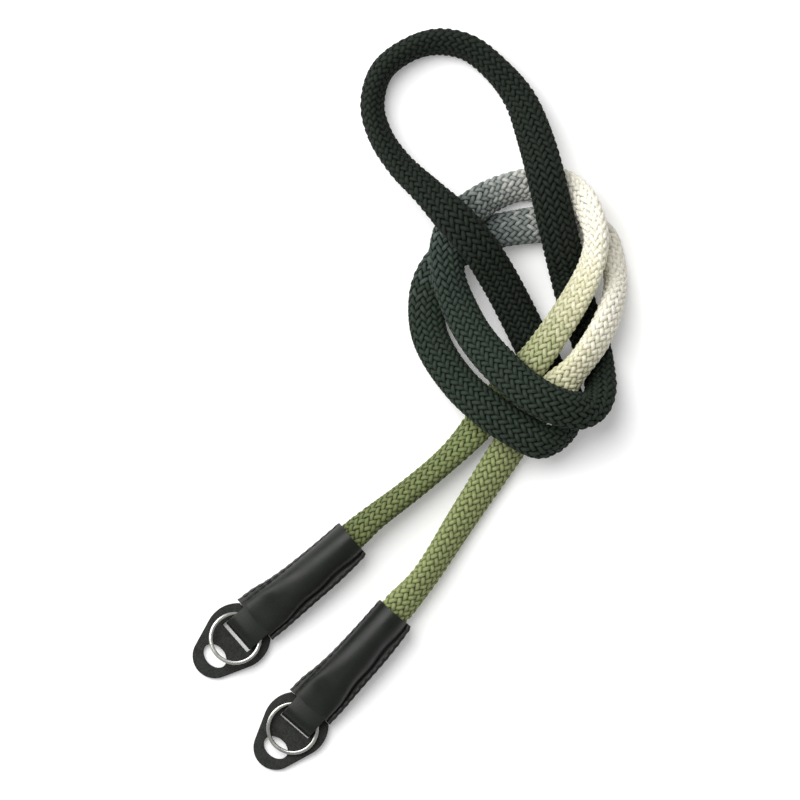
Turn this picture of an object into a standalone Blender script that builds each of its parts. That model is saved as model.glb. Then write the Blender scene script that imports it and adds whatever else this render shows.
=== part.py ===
"""A braided rope neck strap for a camera, lying on a table in a doubled overhand knot.

Metres, +Z up. Each end of the rope goes into a stitched leather sleeve, whose tab is folded
round a split ring and through the slit of a leather guard. The strap rests on z = 0.
"""

import math

import bmesh
import bpy
import numpy as np
from mathutils import Vector

MM = 0.001

# Rope: an oval braid, wider than it is thick, which turns on its side along its way
ROPE_WIDTH = 12.2 * MM
ROPE_THICKNESS = 8.2 * MM
ROPE_SQUASH = 0.08
ROPE_STATIONS = 84
ROPE_BEND_WEIGHT = 9 * MM
ROPE_IN_SLEEVE = 14 * MM
ROPE_IN_SLEEVE_SIZE = 0.88
ROPE_IN_SLEEVE_ROLL = 70
ROPE_RESOLUTION = 3

# Leather sleeve, from its mouth to the fold of its tab
LEATHER = 1.3 * MM
GAP = 0.3 * MM
SLEEVE_LENGTH = 42 * MM
SLEEVE_MOUTH_WIDTH = 12.1 * MM
SLEEVE_MOUTH_HEIGHT = 14.4 * MM
SLEEVE_FLAT_WIDTH = 14.4 * MM
SLEEVE_FLAT_HEIGHT = 8.0 * MM
INNER_FLANGE = 1.9 * MM
OUTER_FLANGE = 2.6 * MM
TAB_WIDTH = 12 * MM
TAB_LEATHER = 1.2 * MM
TAB_REACH = 8.5 * MM
TAB_LEVEL = 4.5 * MM
TAB_ROOT = 3 * MM
TAB_DROP = 4.8 * MM
FOLD = SLEEVE_LENGTH + TAB_REACH
TAB_SLOPE_START = SLEEVE_LENGTH + TAB_LEVEL

# Leather guard, a plate round two circles
GUARD_THICKNESS = 1.6 * MM
GUARD_RADIUS = 11 * MM
GUARD_TIP_RADIUS = 7.5 * MM
GUARD_REACH = 10.2 * MM
GUARD_HOLE_WIDTH = 9 * MM
GUARD_HOLE_LENGTH = 6.6 * MM
SLIT_LENGTH = 13 * MM
SLIT_CORNER = 0.4 * MM

# Split ring, two turns of flat wire
RING_RADIUS = 8.8 * MM
RING_WIRE_WIDTH = 1.25 * MM
RING_WIRE_HEIGHT = 0.8 * MM
RING_PITCH = 0.88 * MM
RING_STEP_ANGLE = 36
RING_STATIONS = 72
RING_START_ANGLE = -115
RING_PAST_FOLD = 1 * MM
RING_CENTRE = FOLD + RING_PAST_FOLD

# Where each sleeve's mouth lies, which way it points, and how its fittings lie
ENDS = {
    "left": {"mouth": (17.0, 36.8), "heading": -138.9, "slit": 2.7 * MM, "ring_lift": 6.0},
    "right": {"mouth": (31.2, 11.8), "heading": -131.0, "slit": 2.0 * MM, "ring_lift": None},
}

# The rope's route from the left sleeve to the right one, in millimetres: x, y, height of the
# middle, and roll in degrees, where 0 lies flat and 90 stands on its edge
ROUTE = [
    (23.5, 42.5, 6.8, 60), (36.0, 52.0, 6.0, 72), (48.0, 62.0, 5.75, 68),
    (56.0, 70.0, 5.2, 45), (63.0, 78.5, 4.7, 20), (70.0, 87.0, 8.2, 20),
    (75.0, 92.5, 13.0, 20), (79.5, 98.0, 15.0, 30), (92.0, 117.0, 16.0, 45),
    (97.0, 128.0, 17.0, 60), (98.3, 137.0, 17.2, 70), (95.5, 146.0, 14.8, 50),
    (90.0, 152.0, 8.4, 20), (82.5, 154.5, 4.5, 0), (73.0, 154.0, 5.1, 35),
    (64.5, 151.0, 6.8, 30), (57.5, 146.5, 10.8, 20), (52.0, 141.0, 13.0, 0),
    (49.0, 132.5, 13.8, 10), (49.3, 123.7, 13.8, 25), (52.8, 113.6, 12.6, 15),
    (58.9, 102.6, 14.4, 10), (68.1, 92.1, 19.6, 0), (75.7, 85.4, 22.9, 0),
    (84.2, 80.8, 24.1, 0), (92.0, 79.0, 21.2, 0), (97.5, 81.0, 15.0, 25),
    (100.0, 86.5, 9.2, 35), (99.0, 93.5, 5.2, 20), (97.0, 101.0, 4.4, 0),
    (91.5, 117.0, 4.5, 0), (89.5, 124.5, 5.8, 0), (87.5, 132.0, 11.2, 0),
    (84.5, 144.0, 16.0, 0), (82.0, 155.0, 16.6, 0), (78.5, 168.5, 11.6, 10),
    (73.0, 183.0, 6.6, 35), (65.5, 192.5, 5.8, 55), (56.0, 200.0, 5.7, 60),
    (45.5, 202.0, 5.8, 62), (35.5, 199.0, 6.1, 78), (27.0, 192.0, 6.3, 82),
    (24.0, 181.0, 6.6, 75), (26.5, 171.0, 8.4, 68), (33.0, 161.0, 12.0, 55),
    (43.0, 151.0, 18.0, 35), (52.0, 141.5, 22.2, 0), (59.0, 133.5, 20.6, 0),
    (66.5, 122.0, 12.6, 0), (73.5, 109.0, 5.8, 0), (79.0, 98.0, 4.3, 0),
    (85.0, 88.0, 4.2, 0), (89.0, 81.5, 4.4, 5), (89.8, 75.3, 7.4, 75),
    (85.8, 70.0, 11.8, 60), (80.0, 68.8, 15.0, 15), (72.9, 72.3, 16.4, 0),
    (64.0, 78.0, 16.0, 0), (52.5, 88.5, 11.0, 10), (43.6, 102.8, 5.4, 10),
    (42.0, 113.2, 4.5, 10), (43.8, 122.2, 4.2, 0), (49.2, 130.3, 4.2, 0),
    (56.5, 136.0, 4.2, 0), (66.0, 139.0, 4.6, 20), (85.0, 141.4, 4.2, 0),
    (93.0, 140.4, 4.2, 0), (100.0, 136.0, 4.6, 10), (104.0, 129.0, 6.0, 60),
    (105.0, 121.0, 7.2, 80), (103.0, 112.0, 12.4, 62), (98.5, 102.5, 14.8, 50),
    (92.0, 93.5, 15.2, 50), (86.0, 87.0, 15.4, 15), (80.0, 81.0, 13.0, 15),
    (75.0, 75.0, 6.0, 25), (71.0, 69.0, 4.9, 20), (54.0, 43.0, 5.5, 42),
    (41.0, 23.0, 6.6, 55),
]

# The sleeve's sections from mouth to tab: place along it, and how far it has gone from the
# mouth's width and height to the flat end's
SLEEVE_SECTIONS = [
    {"along": 0.0, "flatness": 0.0, "flange": 0.55},
    {"along": 0.05, "flatness": 0.0, "flange": 0.75},
    {"along": 0.3, "flatness": 0.05, "flange": 1.0},
    {"along": 0.55, "flatness": 0.2, "flange": 1.0},
    {"along": 0.72, "flatness": 0.45, "flange": 1.0},
    {"along": 0.86, "flatness": 0.8, "flange": 1.0},
    {"along": 1.0, "flatness": 1.0, "flange": 0.9},
]
DOME_PLACES = (1.0, 0.93, 0.8, 0.62, 0.4, 0.14)


def clear_scene():
    for item in list(bpy.data.objects):
        bpy.data.objects.remove(item)


def material(name, colour, roughness, metallic=0.0):
    found = bpy.data.materials.new(name)
    found.use_nodes = True
    shader = found.node_tree.nodes["Principled BSDF"]
    shader.inputs["Base Color"].default_value = (*colour, 1.0)
    shader.inputs["Roughness"].default_value = roughness
    shader.inputs["Metallic"].default_value = metallic
    return found


def mesh_object(name, mesh_data, parent=None, finish=None):
    """An object made from a bmesh, with its faces turned outwards."""
    bmesh.ops.recalc_face_normals(mesh_data, faces=mesh_data.faces)
    mesh = bpy.data.meshes.new(name)
    mesh_data.to_mesh(mesh)
    mesh_data.free()
    made = bpy.data.objects.new(name, mesh)
    bpy.context.scene.collection.objects.link(made)
    made.parent = parent
    if finish:
        mesh.materials.append(finish)
    return made


def helper(item):
    item.hide_render = True
    item.display_type = "WIRE"
    return item


def boolean(item, other, operation):
    modifier = item.modifiers.new(operation.title(), "BOOLEAN")
    modifier.operation = operation
    modifier.solver = "EXACT"
    modifier.object = helper(other)


def loft(rings):
    """A bmesh skinned over rings of points, each with as many points as the first."""
    skin = bmesh.new()
    rows = [[skin.verts.new(point) for point in ring] for ring in rings]
    count = len(rows[0])
    for first, second in zip(rows, rows[1:]):
        for i in range(count):
            j = (i + 1) % count
            skin.faces.new((first[i], first[j], second[j], second[i]))
    skin.faces.new(rows[0])
    skin.faces.new(rows[-1])
    return skin


def prism(outline, low, high):
    """A bmesh of a flat outline, given as (x, y) points, raised from low to high."""
    return loft([[(x, y, low) for x, y in outline], [(x, y, high) for x, y in outline]])


def smooth_curve(points, steps=24):
    """Many points on a centripetal Catmull-Rom curve through these ones."""
    given = np.array(points)
    given = np.vstack([2 * given[0] - given[1], given, 2 * given[-1] - given[-2]])
    found = []
    for a, b, c, d in zip(given, given[1:], given[2:], given[3:]):
        gaps = [np.linalg.norm((q - p)[:3]) ** 0.5 for p, q in ((a, b), (b, c), (c, d))]
        knots = np.cumsum([0.0] + gaps)
        for t in np.linspace(knots[1], knots[2], steps, endpoint=False):
            level = [a, b, c, d]
            for depth in (1, 2, 3):
                level = [
                    blend(level[i], level[i + 1], t, *spans(knots, i, depth))
                    for i in range(4 - depth)
                ]
            found.append(level[0])
    found.append(given[-2])
    return np.array(found)


def spans(knots, i, depth):
    """The two knots between which one step of the Catmull-Rom pyramid blends."""
    if depth == 1:
        return knots[i], knots[i + 1]
    if depth == 2:
        return knots[i], knots[i + 2]
    return knots[1], knots[2]


def blend(first, second, t, start, end):
    return ((end - t) * first + (t - start) * second) / (end - start)


def sleeve_axis(end):
    angle = math.radians(end["heading"])
    return Vector((math.cos(angle), math.sin(angle), 0))


def sleeve_mouth(end):
    x, y = end["mouth"]
    return Vector((x * MM, y * MM, SLEEVE_MOUTH_HEIGHT / 2))


def rope_points():
    """The rope's middle line from inside one sleeve to inside the other: x, y, z, roll."""
    ends = []
    for side in ("left", "right"):
        mouth = sleeve_mouth(ENDS[side])
        inside = mouth + ROPE_IN_SLEEVE * sleeve_axis(ENDS[side])
        ends.append([(*inside, ROPE_IN_SLEEVE_ROLL), (*mouth, ROPE_IN_SLEEVE_ROLL)])
    free = [(x * MM, y * MM, z * MM, roll) for x, y, z, roll in ROUTE]
    return smooth_curve(ends[0] + free + ends[1][::-1])


def rope_stations():
    """Rows read off the smooth line, closer together where it bends."""
    line = rope_points()
    steps = np.diff(line[:, :3], axis=0)
    lengths = np.linalg.norm(steps, axis=1)
    heading = steps / lengths[:, None]
    bends = np.arccos(np.clip((heading[1:] * heading[:-1]).sum(axis=1), -1, 1))
    measure = np.concatenate([[0], np.cumsum(lengths + ROPE_BEND_WEIGHT * np.append(bends, 0))])
    wanted = np.linspace(0, measure[-1], ROPE_STATIONS)
    rows = np.stack([np.interp(wanted, measure, column) for column in line.T], axis=1)
    travelled = np.interp(wanted, measure, np.concatenate([[0], np.cumsum(lengths)]))
    return rows, travelled


def rope(finish):
    rows, travelled = rope_stations()
    curve = bpy.data.curves.new("rope", "CURVE")
    curve.dimensions = "3D"
    curve.twist_mode = "Z_UP"
    curve.fill_mode = "FULL"
    curve.bevel_depth = ROPE_THICKNESS / 2
    curve.extrude = (ROPE_WIDTH - ROPE_THICKNESS) / 2
    curve.bevel_resolution = ROPE_RESOLUTION
    curve.use_fill_caps = True
    spline = curve.splines.new("POLY")
    spline.points.add(len(rows) - 1)
    for point, (x, y, z, roll), along in zip(spline.points, rows, travelled):
        held = min(along, travelled[-1] - along) <= ROPE_IN_SLEEVE + ROPE_THICKNESS / 2
        squash = 1 - ROPE_SQUASH * abs(math.sin(math.radians(2 * roll)))
        point.co = (x, y, z, 1)
        point.tilt = math.radians(90 - roll)
        point.radius = ROPE_IN_SLEEVE_SIZE if held else squash
    made = bpy.data.objects.new("rope", curve)
    bpy.context.scene.collection.objects.link(made)
    curve.materials.append(finish)
    return made


def sleeve_section(part):
    """One closed section: places across the sleeve with the leather's top, then its bottom."""
    flatness = part["flatness"]
    dome = (SLEEVE_MOUTH_WIDTH + (SLEEVE_FLAT_WIDTH - SLEEVE_MOUTH_WIDTH) * flatness) / 2
    half_height = (SLEEVE_MOUTH_HEIGHT + (SLEEVE_FLAT_HEIGHT - SLEEVE_MOUTH_HEIGHT) * flatness) / 2
    inner = -dome - INNER_FLANGE * part["flange"] * flatness - LEATHER / 4
    outer = dome + OUTER_FLANGE * part["flange"] - INNER_FLANGE * flatness / 2
    places = [-dome * share for share in DOME_PLACES] + [dome * share for share in DOME_PLACES[::-1]]
    places = [inner] + places + [outer]
    rise = [
        max(LEATHER, half_height * math.sqrt(max(0.0, 1 - (place / dome) ** 2)))
        for place in places
    ]
    along = part["along"] * SLEEVE_LENGTH
    top = [(along, place, half_height + height) for place, height in zip(places, rise)]
    bottom = [(along, place, half_height - height) for place, height in zip(places, rise)]
    return top + bottom[::-1]


def cavity_ring(along, outline):
    """The hollow's oval at this place, with one point behind each point of the outline."""
    middle = SLEEVE_MOUTH_HEIGHT / 2
    half_width = SLEEVE_MOUTH_WIDTH / 2 - LEATHER
    half_height = SLEEVE_MOUTH_HEIGHT / 2 - LEATHER
    ring = []
    for _, across, height in outline:
        angle = math.atan2((height - middle) / half_height, across / half_width)
        ring.append((along, half_width * math.cos(angle), middle + half_height * math.sin(angle)))
    return ring


def arc(centre, radii, start, end, count):
    """Points on a quarter or half oval, from one angle in degrees to another."""
    angles = [math.radians(start + (end - start) * i / count) for i in range(count + 1)]
    return [(centre[0] + radii[0] * math.cos(a), centre[1] + radii[1] * math.sin(a)) for a in angles]


def tab_outline():
    """The folded strip seen from its side: out over the ring, down, and back underneath."""
    top = SLEEVE_FLAT_HEIGHT
    root = SLEEVE_LENGTH - TAB_ROOT
    reach = FOLD - TAB_SLOPE_START
    foot = TAB_LEATHER + GAP
    inside = reach - TAB_LEATHER
    outer = [(root, top)] + arc((TAB_SLOPE_START, top - TAB_DROP), (reach, TAB_DROP), 90, 0, 7)
    outer += arc((FOLD - foot, foot), (foot, foot), 0, -90, 5) + [(root, 0)]
    inner = [(root, TAB_LEATHER)]
    inner += arc((FOLD - foot, foot), (foot - TAB_LEATHER, foot - TAB_LEATHER), -90, 0, 5)
    inner += arc((TAB_SLOPE_START, top - TAB_DROP), (inside, TAB_DROP - TAB_LEATHER), 0, 90, 7)
    return outer + inner + [(root, top - TAB_LEATHER)]


def sleeve(side, frame, finish):
    """The stitched leather round the rope's end, joined to its folded tab."""
    outside = [sleeve_section(part) for part in SLEEVE_SECTIONS]
    depth = ROPE_IN_SLEEVE + GAP
    hollow = [cavity_ring(along, outside[0]) for along in (depth, 0.5 * depth, 0.0)]
    body = loft([*hollow, *outside])
    made = mesh_object(f"{side}_sleeve", body, frame, finish)
    strip = [
        [(along, across, height) for along, height in tab_outline()]
        for across in (-TAB_WIDTH / 2, TAB_WIDTH / 2)
    ]
    tab = mesh_object(f"{side}_tab_helper", loft(strip), frame)
    boolean(made, tab, "UNION")
    return made


def guard_slope():
    """How far the guard leans down from the strip under it to the table at its tip."""
    carried = TAB_LEATHER + GAP
    reach = GUARD_REACH + GUARD_TIP_RADIUS
    return math.asin(carried / reach)


def slit_middle(end):
    return FOLD - TAB_LEATHER - GAP + end["slit"] / 2


def guard_outline(end):
    """Two circles and their common tangents, cut straight where the sleeve ends."""
    lean = math.degrees(math.acos((GUARD_RADIUS - GUARD_TIP_RADIUS) / GUARD_REACH))
    cut = SLEEVE_LENGTH + 2 * GAP - slit_middle(end)
    start = math.degrees(math.acos(cut / GUARD_RADIUS))
    big = (GUARD_RADIUS, GUARD_RADIUS)
    tip = (GUARD_TIP_RADIUS, GUARD_TIP_RADIUS)
    outline = arc((0, 0), big, -start, -lean, 7)
    outline += arc((GUARD_REACH, 0), tip, -lean, lean, 16)
    return outline + arc((0, 0), big, lean, start, 7)


def round_slot(length, width):
    """A slot's outline, long across the strap, with rounded corners."""
    radius = SLIT_CORNER
    x, y = width / 2 - radius, length / 2 - radius
    corners = [(x, y, 0), (-x, y, 90), (-x, -y, 180), (x, -y, 270)]
    return [point for x, y, a in corners for point in arc((x, y), (radius, radius), a, a + 90, 3)]


def guard(side, frame, finish):
    """The flat leather that keeps the ring off the camera, threaded on the tab."""
    end = ENDS[side]
    made = mesh_object(f"{side}_guard", prism(guard_outline(end), 0, GUARD_THICKNESS), frame, finish)
    made.location = (slit_middle(end), 0, TAB_LEATHER + GAP)
    made.rotation_euler = (0, guard_slope(), 0)
    slit = prism(round_slot(SLIT_LENGTH, end["slit"]), -GUARD_THICKNESS, 2 * GUARD_THICKNESS)
    oval = [
        (GUARD_REACH + x, y)
        for x, y in arc((0, 0), (GUARD_HOLE_LENGTH / 2, GUARD_HOLE_WIDTH / 2), 0, 360, 24)[:-1]
    ]
    hole = prism(oval, -GUARD_THICKNESS, 2 * GUARD_THICKNESS)
    for name, cutter in (("slit", slit), ("hole", hole)):
        boolean(made, mesh_object(f"{side}_{name}_cutter", cutter, made), "DIFFERENCE")
    return made


def ring_wire():
    """Two flat turns that step up over one another, as rings of points along the wire."""
    middle = RING_RADIUS - RING_WIRE_WIDTH / 2
    corner = RING_WIRE_HEIGHT / 4
    half_width = RING_WIRE_WIDTH / 2
    half_height = RING_WIRE_HEIGHT / 2
    section = [
        (half_width, half_height - corner),
        (half_width - corner, half_height),
        (corner - half_width, half_height),
        (-half_width, half_height - corner),
        (-half_width, corner - half_height),
        (corner - half_width, -half_height),
        (half_width - corner, -half_height),
        (half_width, corner - half_height),
    ]
    rings = []
    for i in range(RING_STATIONS + 1):
        turned = RING_STEP_ANGLE + i * (720 - 2 * RING_STEP_ANGLE) / RING_STATIONS
        share = min(1.0, max(0.0, (turned - 360 + RING_STEP_ANGLE) / (2 * RING_STEP_ANGLE)))
        level = RING_PITCH * (share * share * (3 - 2 * share)) + RING_WIRE_HEIGHT / 2
        angle = math.radians(turned + RING_START_ANGLE)
        rings.append([
            ((middle + out) * math.cos(angle), (middle + out) * math.sin(angle), level + up)
            for out, up in section
        ])
    return rings


def ring(side, frame, finish):
    """The split ring, trapped in the tab's fold and lying on the guard."""
    end = ENDS[side]
    made = mesh_object(f"{side}_ring", loft(ring_wire()), frame, finish)
    slope = guard_slope()
    behind = RING_CENTRE - RING_RADIUS - slit_middle(end)
    rest = TAB_LEATHER + 2 * GAP + GUARD_THICKNESS - behind * math.tan(slope)
    tilt = slope if end["ring_lift"] is None else -math.radians(end["ring_lift"])
    made.location = (RING_CENTRE, 0, rest - RING_RADIUS * math.sin(tilt))
    made.rotation_euler = (0, tilt, 0)
    return made


def main():
    clear_scene()
    green = material("sage_rope", (0.33, 0.38, 0.2), 0.85)
    leather = material("black_leather", (0.02, 0.02, 0.018), 0.45)
    suede = material("charcoal_leather", (0.025, 0.025, 0.025), 0.8)
    steel = material("nickel_steel", (0.62, 0.6, 0.56), 0.25, 1.0)
    rope(green)
    for side, end in ENDS.items():
        frame = bpy.data.objects.new(f"{side}_end", None)
        bpy.context.scene.collection.objects.link(frame)
        frame.location = (end["mouth"][0] * MM, end["mouth"][1] * MM, 0)
        frame.rotation_euler = (0, 0, math.radians(end["heading"]))
        sleeve(side, frame, leather)
        guard(side, frame, suede)
        ring(side, frame, steel)


main()
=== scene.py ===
"""The looks of a camera neck strap: a braided rope in a loose knot, with leather ends and rings.

Metres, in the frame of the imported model, with the table's top at z = 0.
"""

import math

import bmesh
import bpy
import numpy as np
from mathutils import Matrix


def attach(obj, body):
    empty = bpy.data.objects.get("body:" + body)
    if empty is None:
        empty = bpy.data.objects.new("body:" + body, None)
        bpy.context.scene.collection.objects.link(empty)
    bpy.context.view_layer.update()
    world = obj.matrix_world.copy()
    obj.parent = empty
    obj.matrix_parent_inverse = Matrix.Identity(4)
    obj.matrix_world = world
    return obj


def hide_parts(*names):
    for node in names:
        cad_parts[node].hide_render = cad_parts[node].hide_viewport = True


MM = 0.001

# The rope, on the part's own route but 0.8 mm wider than the solid, as the photo shows it
ROPE_WIDTH = 13.0 * MM
ROPE_THICKNESS = 8.2 * MM
ROPE_SQUASH = 0.08
ROPE_IN_SLEEVE = 14 * MM
ROPE_IN_SLEEVE_SIZE = 0.88
ROPE_SWELLS_OVER = 4 * MM
ROPE_LINE_STEP = 1 * MM

# The braid: carriers going each way, over two and under two
CARRIERS = 16
RIBS = CARRIERS // 2
STRAND_PITCH = 41 * MM
STRAND_WIDTH = 1.62 * MM
STRAND_THICKNESS = 1.2 * MM
STRAND_RISE = 1.1 * MM
STRAND_STEP = 0.8 * MM
STRAND_SIDES = 8
STRANDS_IN_A_PIECE = 8
STRAND_FULLNESS = 0.9
STRAND_FULLER_ON_TOP = 0.15
RIB_PHASE = math.pi / 4
OVAL_EVENING = 0.1
CORE_INSET = 1.75 * MM
CORE_SIDES = 24
# The core's dye is darkened by this share, as painted shade in the gaps between the strands
CORE_PAINTED_SHADE = 0.45

# Leather ends: the part's own sizes, with the tab's root sunk in and the slit's ends eased
LEATHER = 1.3 * MM
GAP = 0.3 * MM
SLEEVE_LENGTH = 42 * MM
SLEEVE_MOUTH_WIDTH = 12.1 * MM
SLEEVE_MOUTH_HEIGHT = 14.4 * MM
SLEEVE_FLAT_WIDTH = 14.4 * MM
SLEEVE_FLAT_HEIGHT = 8.0 * MM
INNER_FLANGE = 1.9 * MM
OUTER_FLANGE = 2.6 * MM
TAB_WIDTH = 12 * MM
TAB_LEATHER = 1.2 * MM
TAB_REACH = 8.5 * MM
TAB_LEVEL = 4.5 * MM
TAB_ROOT = 3 * MM
TAB_DROP = 4.8 * MM
TAB_SINK = 1.3 * MM
TAB_BEVEL = 0.35 * MM
TAB_SLOPE_STEPS = 16
TAB_TURN_STEPS = 10
FOLD = SLEEVE_LENGTH + TAB_REACH
TAB_SLOPE_START = SLEEVE_LENGTH + TAB_LEVEL
GUARD_THICKNESS = 1.6 * MM
GUARD_RADIUS = 11 * MM
GUARD_TIP_RADIUS = 7.5 * MM
GUARD_REACH = 10.2 * MM
GUARD_HOLE_WIDTH = 9 * MM
GUARD_HOLE_LENGTH = 6.6 * MM
SLIT_EASE = 0.1 * MM
GUARD_BEVEL = 0.3 * MM
GUARD_STEPS = 28
GUARD_TIP_STEPS = 44
GUARD_HOLE_STEPS = 48
RING_RADIUS = 8.8 * MM
RING_WIRE_WIDTH = 1.25 * MM
RING_WIRE_HEIGHT = 0.8 * MM
RING_PITCH = 0.88 * MM
RING_STEP_ANGLE = 36
RING_START_ANGLE = -115
RING_STATIONS = 260
RING_SIDES = 16
RING_ROUNDING = 0.5
RING_PAST_FOLD = 1 * MM
RING_CENTRE = FOLD + RING_PAST_FOLD
ENDS = {
    "left": {"mouth": (0.0170, 0.0368), "heading": -138.9, "slit": 2.7 * MM, "ring_lift": 6.0, "roll": 40},
    "right": {"mouth": (0.0312, 0.0118), "heading": -131.0, "slit": 2.0 * MM, "ring_lift": None, "roll": 28},
}

# The sleeve from mouth to tab: share of its length, how flat it is, and its flanges' share
SLEEVE_SECTIONS = [
    (0.0, 0.0, 0.55), (0.05, 0.0, 0.75), (0.3, 0.05, 1.0), (0.55, 0.2, 1.0),
    (0.72, 0.45, 1.0), (0.86, 0.8, 1.0), (1.0, 1.0, 0.9),
]
SECTIONS_BETWEEN = 22
SLEEVE_PAST_END = 0.45 * MM
HOLLOW_LIP = 0.4 * MM
DOME_SIDES = 30
DOME_FOOT = 0.8
STITCH_SPACING = 2.9 * MM
STITCH_LENGTH = 2.1 * MM
THREAD_RADIUS = 0.38 * MM
STITCHED_SECTIONS = slice(14, -10)
OUTER_STITCH_INSET = 1.15 * MM
INNER_STITCH_INSET = 0.55 * MM
STITCH_LEVEL = 0.98
SCALLOP = 0.08 * MM
CREASE_WAVE = 0.22 * MM
CREASE_WAVE_LENGTH = 15 * MM
SQUAREST_DOME = 3.6

# The flanges' edges: share of the way across, and height as a share of the leather
INNER_EDGE = [(0, 0.3), (0.2, 0.85), (0.6, 0.95)]
OUTER_EDGE = [(0.12, 0.72), (0.3, 0.92), (0.6, 1.0), (0.86, 0.95), (0.96, 0.75), (1.0, 0.3)]

# How edges are softened, with angles in degrees
BEVEL_SEGMENTS = 3
BEVEL_FROM_ANGLE = 50
SHARP_FROM_ANGLE = 45

# The rope's route from the left sleeve to the right one: x, y, height of the middle in metres,
# and roll in degrees, where 0 lies flat and 90 stands on its edge
ROUTE = [
    (0.0235, 0.0425, 0.0068, 60), (0.0360, 0.0520, 0.0060, 72), (0.0480, 0.0620, 0.0057, 68),
    (0.0560, 0.0700, 0.0052, 45), (0.0630, 0.0785, 0.0047, 20), (0.0700, 0.0870, 0.0082, 20),
    (0.0750, 0.0925, 0.0130, 20), (0.0795, 0.0980, 0.0150, 30), (0.0920, 0.1170, 0.0160, 45),
    (0.0970, 0.1280, 0.0170, 60), (0.0983, 0.1370, 0.0172, 70), (0.0955, 0.1460, 0.0148, 50),
    (0.0900, 0.1520, 0.0084, 20), (0.0825, 0.1545, 0.0045, 0), (0.0730, 0.1540, 0.0051, 35),
    (0.0645, 0.1510, 0.0068, 30), (0.0575, 0.1465, 0.0108, 20), (0.0520, 0.1410, 0.0130, 0),
    (0.0490, 0.1325, 0.0138, 10), (0.0493, 0.1237, 0.0138, 25), (0.0528, 0.1136, 0.0126, 15),
    (0.0589, 0.1026, 0.0144, 10), (0.0681, 0.0921, 0.0196, 0), (0.0757, 0.0854, 0.0229, 0),
    (0.0842, 0.0808, 0.0241, 0), (0.0920, 0.0790, 0.0212, 0), (0.0975, 0.0810, 0.0150, 25),
    (0.1000, 0.0865, 0.0092, 35), (0.0990, 0.0935, 0.0052, 20), (0.0970, 0.1010, 0.0044, 0),
    (0.0915, 0.1170, 0.0045, 0), (0.0895, 0.1245, 0.0058, 0), (0.0875, 0.1320, 0.0112, 0),
    (0.0845, 0.1440, 0.0160, 0), (0.0820, 0.1550, 0.0166, 0), (0.0785, 0.1685, 0.0116, 10),
    (0.0730, 0.1830, 0.0066, 35), (0.0655, 0.1925, 0.0058, 55), (0.0560, 0.2000, 0.0057, 60),
    (0.0455, 0.2020, 0.0058, 62), (0.0355, 0.1990, 0.0061, 78), (0.0270, 0.1920, 0.0063, 82),
    (0.0240, 0.1810, 0.0066, 75), (0.0265, 0.1710, 0.0084, 68), (0.0330, 0.1610, 0.0120, 55),
    (0.0430, 0.1510, 0.0180, 35), (0.0520, 0.1415, 0.0222, 0), (0.0590, 0.1335, 0.0206, 0),
    (0.0665, 0.1220, 0.0126, 0), (0.0735, 0.1090, 0.0058, 0), (0.0790, 0.0980, 0.0043, 0),
    (0.0850, 0.0880, 0.0042, 0), (0.0890, 0.0815, 0.0044, 5), (0.0898, 0.0753, 0.0074, 75),
    (0.0858, 0.0700, 0.0118, 60), (0.0800, 0.0688, 0.0150, 15), (0.0729, 0.0723, 0.0164, 0),
    (0.0640, 0.0780, 0.0160, 0), (0.0525, 0.0885, 0.0110, 10), (0.0436, 0.1028, 0.0054, 10),
    (0.0420, 0.1132, 0.0045, 10), (0.0438, 0.1222, 0.0042, 0), (0.0492, 0.1303, 0.0042, 0),
    (0.0565, 0.1360, 0.0042, 0), (0.0660, 0.1390, 0.0046, 20), (0.0850, 0.1414, 0.0042, 0),
    (0.0930, 0.1404, 0.0042, 0), (0.1000, 0.1360, 0.0046, 10), (0.1040, 0.1290, 0.0060, 60),
    (0.1050, 0.1210, 0.0072, 80), (0.1030, 0.1120, 0.0124, 62), (0.0985, 0.1025, 0.0148, 50),
    (0.0920, 0.0935, 0.0152, 50), (0.0860, 0.0870, 0.0154, 15), (0.0800, 0.0810, 0.0130, 15),
    (0.0750, 0.0750, 0.0060, 25), (0.0710, 0.0690, 0.0049, 20), (0.0540, 0.0430, 0.0055, 42),
    (0.0410, 0.0230, 0.0066, 55),
]

# The dyes, and where each lies along the rope in metres from its end in the left sleeve
DARK_GREEN = (0.125, 0.150, 0.055)
GREEN = (0.195, 0.235, 0.090)
SAGE = (0.270, 0.310, 0.130)
PALE_GREEN = (0.400, 0.420, 0.220)
STRAW = (0.660, 0.640, 0.440)
WARM_WHITE = (0.850, 0.820, 0.710)
LIGHT_GREY = (0.530, 0.530, 0.490)
GREY = (0.210, 0.240, 0.225)
DEEP_GREY = (0.085, 0.110, 0.100)
SLATE = (0.035, 0.053, 0.041)
CHARCOAL = (0.021, 0.034, 0.022)
NEAR_BLACK = (0.011, 0.017, 0.011)
DYE = [
    (0.000, DARK_GREEN), (0.073, GREEN), (0.106, PALE_GREEN), (0.128, STRAW), (0.148, WARM_WHITE),
    (0.168, WARM_WHITE), (0.181, LIGHT_GREY), (0.201, GREY), (0.221, SLATE), (0.279, CHARCOAL),
    (0.335, NEAR_BLACK), (0.592, NEAR_BLACK), (0.640, CHARCOAL), (0.708, CHARCOAL), (0.730, DEEP_GREY),
    (0.750, GREY), (0.765, LIGHT_GREY), (0.781, WARM_WHITE), (0.808, WARM_WHITE), (0.829, STRAW),
    (0.846, PALE_GREEN), (0.870, SAGE), (0.948, SAGE),
]
DYE_SCATTER = 6 * MM
DYE_SEED = 3
DYE_SEED_APART = 100

# The yarn's filaments: streaks round each strand and along it
STREAKS_AROUND = 18
STREAKS_ALONG = 900

# Camera, straight above the middle of the photograph
VIEW_MIDDLE = (0.0332, 0.0825)
VIEW_WIDTH = 0.2667
CAMERA_HEIGHT = 2.0
MIDDLE_HEIGHT = 7 * MM
SENSOR = 36
FARTHEST_SEEN = 10

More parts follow.
